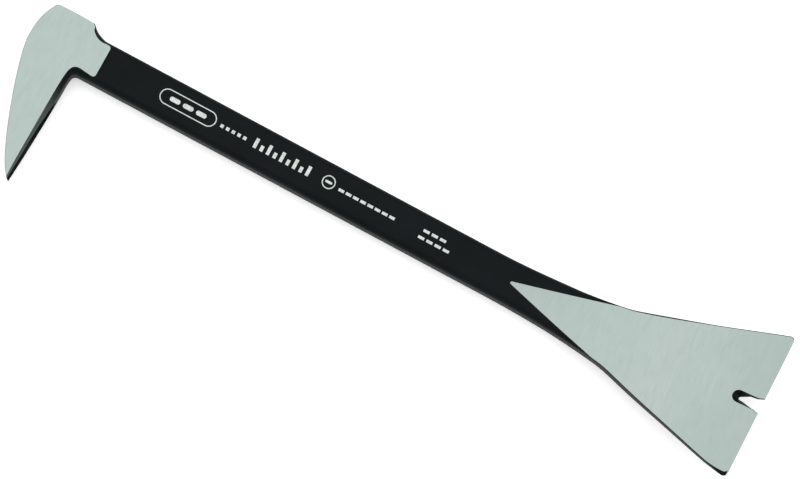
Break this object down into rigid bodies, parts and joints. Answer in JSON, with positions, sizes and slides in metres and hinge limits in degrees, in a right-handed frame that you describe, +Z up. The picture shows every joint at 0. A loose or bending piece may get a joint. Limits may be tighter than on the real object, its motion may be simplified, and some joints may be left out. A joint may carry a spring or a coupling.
{
  "type": "pry bar",
  "caption": "Short forged claw bar with a hooked, slotted nail-pulling head and a flared, upturned pry blade with a nail slot.",
  "frame": {"origin": "middle of the bar's box, at its base: the plane that the bar lies on", "axes": "+X along the bar from the claw head to the pry blade, the claw points along -Y, +Z up, towards the side that the blade bends to"},
  "size_m": [0.254, 0.07, 0.021],
  "materials": {
    "ground_steel": "fine ground, satin",
    "black_coating": "semi-gloss black",
    "pale_ink": "matt printed ink"
  },
  "bodies": {
    "root": {"forged_bar": "ground_steel", "black_coating": "black_coating", "printed_badge": "pale_ink", "printed_item_mark": "pale_ink", "printed_size_mark": "pale_ink", "printed_safety_symbol": "pale_ink", "printed_safety_line": "pale_ink", "printed_register_lines": "pale_ink"}
  },
  "joints": []
}
